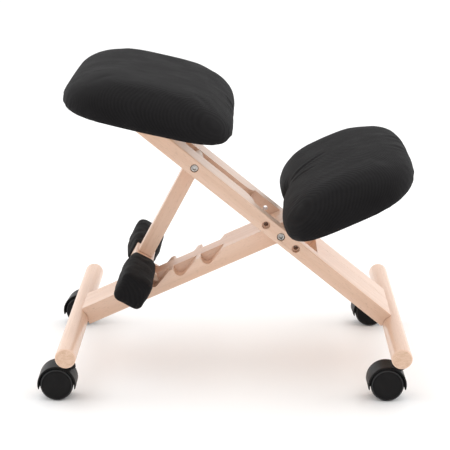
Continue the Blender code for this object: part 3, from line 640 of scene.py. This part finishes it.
def foot_pad(side, sign):
    bar_x, bar_z = FOOT_BAR
    middle = FOOT_BAR_TOP - bar_z
    sections = [(bar_x - 0.002, bar_z - 0.002, 0.0, 0.0290), (bar_x - 0.001, bar_z - 0.001, 0.0, 0.0266),
                (bar_x + 0.0014, bar_z + 0.0014, 0.0, 0.0264), (bar_x + 0.0022, bar_z + 0.0020, 0.0, 0.030),
                (bar_x + 0.0040, bar_z + 0.0030, 0.10, 0.039), (bar_x + 0.0052, bar_z + 0.0044, 0.35, 0.056),
                (bar_x + 0.0058, bar_z + 0.0056, 0.60, 0.078), (bar_x + 0.0064, bar_z + 0.0072, 0.85, 0.110),
                (bar_x + 0.0066, bar_z + 0.0076, 0.95, 0.132), (bar_x + 0.0058, bar_z + 0.0068, 0.95, 0.1410),
                (bar_x + 0.0034, bar_z + 0.0036, 0.90, 0.1466), (bar_x - 0.005, bar_z - 0.005, 0.9, 0.1476)]
    bm = bmesh.new()
    rings = []
    for half_x, half_z, sag, y in sections:
        drop = middle - sag * PAD_SAG[side]
        rings.append([bm.verts.new((x, sign * y, z + drop))
                      for x, z in rounded_box(half_x, half_z, 0.0065 + 0.0015 * sag)])
    skin(bm, rings)
    obj = add_object(f"foot_pad_{side}_cover", bm, [PAD_FABRIC], sharp=180)
    remesh(obj, 0.0035)
    puff(obj, lambda v: abs(v.co.y) < 0.036, 0.0018, pressure=3.0, slack=0.03)
    low = middle - bar_z
    grooves = [((-0.021, sign * 0.050, low + 0.006), (-0.006, sign * 0.088, low - 0.004), 0.0035, 0.0008),
               ((-0.010, sign * 0.060, middle + 0.018), (0.018, sign * 0.084, middle + 0.017), 0.004, 0.0008),
               ((0.021, sign * 0.044, middle + 0.010), (0.022, sign * 0.072, low + 0.004), 0.0035, 0.0009)]
    press(obj, grooves)
    rumple(obj, 0.0015, 0.019, 0.5)
    smooth(obj, 0.4, 2)
    subdivide(obj)
    obj.data.transform(STRUT)
    obj.data.shade_smooth()
    settle(obj, "strut_frame", "black_fabric", f"foot_pad_{side}")


# ---- bolts ---------------------------------------------------------------------------------------
def bolt_head(name, along, node):
    """Socket head with a chamfered rim, its hexagon recess and the shank, standing for a CAD bolt."""
    face, seat = BOLT_FACE, BOLT_SEAT
    bm = bmesh.new()
    lathe(bm, [(0.0046, face), (0.0052, face + 0.0003), (0.0056, face + 0.0009), (0.0056, seat),
               (0.0038, seat), (0.0038, 0.0570), (0.0034, 0.0578)], 48)
    head = add_object(name, bm, [STEEL], sharp=30)
    bm = bmesh.new()
    skin(bm, [circle(bm, 0.0031, face - 0.002, 6), circle(bm, 0.0030, face + 0.0034, 6)])
    tool = add_object(f"{name}_tool", bm, [STEEL])
    cutting = head.modifiers.new("socket", "BOOLEAN")
    cutting.operation, cutting.solver, cutting.object = "DIFFERENCE", "EXACT", tool
    apply_modifiers(head)
    bpy.data.objects.remove(tool)
    head.data.transform(SEAT_BEAM @ Matrix.Translation((along, 0, 0)))
    settle(head, "seat_frame", "steel", node)


def hole_shade_plugs():
    """Turned beech plugs deep in the two unused crossing holes of the right rail, darkened: painted shade for
    the inside of those open holes.
    """
    # tint 0.62 darkens this beech: painted shade deep in the holes
    wood = beech("beech_hole_shade", ACROSS, Y_TO_X, 0.62, 3.1)
    bm = bmesh.new()
    for along in (-ADJUST_PITCH, ADJUST_PITCH):
        lathe(bm, [(0.0024, -0.0480), (0.0034, -0.0472), (0.0034, -0.0400), (0.0030, -0.0400)], 32)
        bm.verts.ensure_lookup_table()
        for vertex in bm.verts[-4 * 32:]:
            vertex.co.x += along
    plugs = add_object("hole_shade_plugs", bm, [wood], SEAT_BEAM)
    settle(plugs, "seat_frame", "beech")


# ---- casters -------------------------------------------------------------------------------------
def hood_mesh():
    """Moulded hood: a shell over both wheels, the web between them and the neck for the stem."""
    centre = Vector((-TRAIL, 0, WHEEL_RADIUS))
    section = [(0.0250, 0.0), (0.0250, 0.0186), (0.0256, 0.0193), (0.0266, 0.0195), (0.0273, 0.0190),
               (0.0277, 0.0176), (0.0277, 0.0)]
    half = section + [(r, -y) for r, y in reversed(section[1:-1])]
    bm = bmesh.new()
    rings = []
    steps = 72
    for step in range(steps + 1):
        angle = math.radians(-14 + 208 * step / steps)
        taper = min(1.0, min(step, steps - step) / 3)
        ring = []
        for radius, y in half:
            r = HOOD_MIDDLE + (radius - HOOD_MIDDLE) * (0.55 + 0.45 * taper)
            ring.append(bm.verts.new(centre + Vector((r * math.cos(angle), y, r * math.sin(angle)))))
        rings.append(ring)
    skin(bm, rings)
    parts = [add_object("shell", bm, [])]

    bm = bmesh.new()
    outline = [(0.0262 * math.cos(math.radians(a)), 0.0262 * math.sin(math.radians(a)))
               for a in range(-10, 191, 5)]
    outline += [(-0.009, -0.009), (0.0, -0.0115), (0.009, -0.009)]
    skin(bm, [[bm.verts.new(centre + Vector((x, y, z))) for x, z in outline] for y in (-0.0052, 0.0052)])
    parts.append(add_object("web", bm, []))

    bm = bmesh.new()
    lathe(bm, [(0.0095, 0.0440), (0.0092, 0.0470), (0.0084, 0.0502), (0.0079, 0.0512), (0.0070, 0.0515)],
          40, "Z")
    parts.append(add_object("neck", bm, []))
    body = parts[0]
    for other in parts[1:]:
        union = body.modifiers.new(other.name, "BOOLEAN")
        union.operation, union.solver, union.object = "UNION", "EXACT", other
    apply_modifiers(body)
    for other in parts[1:]:
        bpy.data.objects.remove(other)
    voxels = 0.0011
    remesh(body, voxels)
    smooth(body, 0.5, 2)
    mesh = body.data
    bpy.data.objects.remove(body)
    mesh.materials.clear()
    mesh.materials.append(BLACK_PLASTIC)
    mesh.shade_smooth()
    return mesh


def wheel_mesh(sign):
    """Wheel with a rounded tread, a groove inside its rim, a shallow dished face and a hub boss."""
    inner, outer = WHEEL_INNER, WHEEL_OUTER
    radius = WHEEL_RADIUS
    profile = [(0.0008, inner + 0.0012), (0.0145, inner + 0.0012), (0.0155, inner), (radius - 0.0016, inner),
               (radius - 0.0004, inner + 0.0006), (radius, inner + 0.0018), (radius, outer - 0.0026),
               (radius - 0.0005, outer - 0.0012), (radius - 0.0016, outer - 0.0004),
               (radius - 0.0026, outer - 0.0001), (radius - 0.0031, outer - 0.0006),
               (radius - 0.0035, outer - 0.0006), (radius - 0.0040, outer), (0.0150, outer + 0.0003),
               (0.0080, outer + 0.0005), (0.0008, outer + 0.0006)]
    finishes = [0] * 3 + [1] * 6 + [0] * 6      # the six bands of the rim take the tread
    bm = bmesh.new()
    lathe(bm, [(r, sign * y) for r, y in profile], 72, "Y", finishes)
    obj = add_object("wheel", bm, [WHEEL_PLASTIC, TREAD], sharp=40)
    mesh = obj.data
    bpy.data.objects.remove(obj)
    return mesh


def place_copy(name, mesh, matrix):
    """Copy of a mesh with its place in its points, so that its texture goes with it."""
    copy = mesh.copy()
    copy.transform(matrix)
    obj = bpy.data.objects.new(name, copy)
    SCENE.collection.objects.link(obj)
    return obj


def casters():
    hood = hood_mesh()
    wheels = {"inner": wheel_mesh(1), "outer": wheel_mesh(-1)}
    axle_at = Matrix.Translation((-TRAIL, 0, WHEEL_RADIUS))
    for joint in frame["joints"]:
        if not joint["name"].endswith("_swivel"):
            continue
        key = joint["name"][:-len("_swivel")]
        stem = Vector((joint["pos_m"][0], joint["pos_m"][1], 0.0))
        swivel = Matrix.Translation(stem) @ Matrix.Rotation(math.radians(SWIVEL[key]), 4, "Z")
        body = f"{key}_caster"
        settle(place_copy(f"{key}_hood_shell", hood, swivel), body, "black_plastic", f"{body}_hood")
        for label, mesh in wheels.items():
            obj = place_copy(f"{key}_wheel_{label}_disc", mesh, swivel @ axle_at)
            settle(obj, f"{key}_wheel_{label}", "black_plastic", f"{body}_wheel_{label}")


# ---- CAD nodes that keep their shape -------------------------------------------------------------
def dress_nodes():
    for name, node in NODES.items():
        if any(word in name for word in ("screw", "bolt", "nut", "axle", "caster_stem")):
            material = STEEL
        elif "washer" in name:
            material = NYLON
        elif "board" in name:
            material = PLYWOOD
        elif "socket" in name:
            material = BLACK_PLASTIC
        else:
            continue
        node.data.materials.clear()
        node.data.materials.append(material)


# ---- floor, light and camera ---------------------------------------------------------------------
def area_light(name, place, target, size, power):
    light = bpy.data.lights.new(name, "AREA")
    light.shape = "RECTANGLE"
    light.size, light.size_y = size
    light.energy = power
    obj = bpy.data.objects.new(name, light)
    SCENE.collection.objects.link(obj)
    obj.location = place
    aim = Vector(target) - Vector(place)
    obj.rotation_euler = aim.to_track_quat("-Z", "Y").to_euler()


def studio_world():
    """White surroundings, a little dimmer low down on the chair's right side."""
    world = bpy.data.worlds.new("studio")
    world.use_nodes = True
    tree = world.node_tree
    place = tree.nodes.new("ShaderNodeTexCoord")
    split = tree.nodes.new("ShaderNodeSeparateXYZ")
    brightest = tree.nodes.new("ShaderNodeMath")
    brightest.operation = "MAXIMUM"
    tree.links.new(place.outputs["Generated"], split.inputs[0])
    for index, (axis, low, high) in enumerate((("Y", -0.4, 0.5), ("Z", 0.15, 0.55))):
        fade = tree.nodes.new("ShaderNodeMapRange")
        for name, value in (("From Min", low), ("From Max", high), ("To Min", 0.80), ("To Max", 1.1)):
            fade.inputs[name].default_value = value
        tree.links.new(split.outputs[axis], fade.inputs["Value"])
        tree.links.new(fade.outputs[0], brightest.inputs[index])
    tree.links.new(brightest.outputs[0], tree.nodes["Background"].inputs["Strength"])
    tree.nodes["Background"].inputs["Color"].default_value = (1.0, 1.0, 1.0, 1.0)
    SCENE.world = world


def studio():
    bm = bmesh.new()
    bmesh.ops.create_grid(bm, x_segments=2, y_segments=2, size=14.0)
    m = Nodes("pale_floor")
    soft = m.noise(m.place.outputs["Object"], 0.8, 2.0)
    material = m.finish(m.mix(soft, (0.95, 0.95, 0.95), (0.97, 0.97, 0.97)), 0.9)
    floor = add_object("floor", bm, [material])
    floor.location.z = -0.0006
    studio_world()
    area_light("overhead", (0.0, 0.3, 3.4), (0, 0.2, 0), (5.0, 4.0), 24)
    area_light("left_box", (-2.6, 0.3, 1.1), (0, 0, 0.25), (2.0, 1.6), 16)
    area_light("right_box", (2.6, 0.3, 1.1), (0, 0, 0.25), (2.0, 1.6), 16)
    SCENE.view_settings.view_transform = "Standard"


def camera():
    elevation, azimuth, roll = math.radians(15.3), math.radians(0.94), math.radians(-0.20)
    forward = Vector((-math.sin(azimuth) * math.cos(elevation),
                      math.cos(azimuth) * math.cos(elevation), -math.sin(elevation)))
    right = Vector((math.cos(azimuth), math.sin(azimuth), 0.0))
    up = right.cross(forward)
    right, up = (math.cos(roll) * right + math.sin(roll) * up,
                 math.cos(roll) * up - math.sin(roll) * right)
    data = bpy.data.cameras.new("camera")
    data.sensor_width = 36.0
    data.lens = 120.4
    data.clip_end = 60.0
    obj = bpy.data.objects.new("camera", data)
    SCENE.collection.objects.link(obj)
    place = Matrix((right, up, -forward)).transposed().to_4x4()
    place.translation = Vector((0.03263, -2.19202, 0.81088))
    obj.matrix_world = place
    SCENE.camera = obj


# ---- build ---------------------------------------------------------------------------------------
camera()
studio()
dress_nodes()
wooden_frame()
cushion_cover("seat_cushion", SEAT_CUSHION, SEAT_PLANE, "seat_frame", SEAT_FABRIC, SEAT_CREASES)
cushion_cover("knee_cushion", KNEE_CUSHION, KNEE_PLANE, "knee_frame", KNEE_FABRIC, KNEE_CREASES)
hem("seat_cushion", SEAT_CUSHION, SEAT_PLANE, "seat_frame", SEAT_FABRIC, lambda x, y: False)
hem("knee_cushion", KNEE_CUSHION, KNEE_PLANE, "knee_frame", KNEE_FABRIC,
    lambda x, y: abs(y) < 0.040 and x < 0.08)
for pad_side, pad_sign in SIDES:
    foot_pad(pad_side, pad_sign)
bolt_head("pivot_bolt_head", 0.0, "pivot_bolt")
bolt_head("strut_bolt_head", STRUT_ALONG, "strut_bolt")
hole_shade_plugs()
casters()
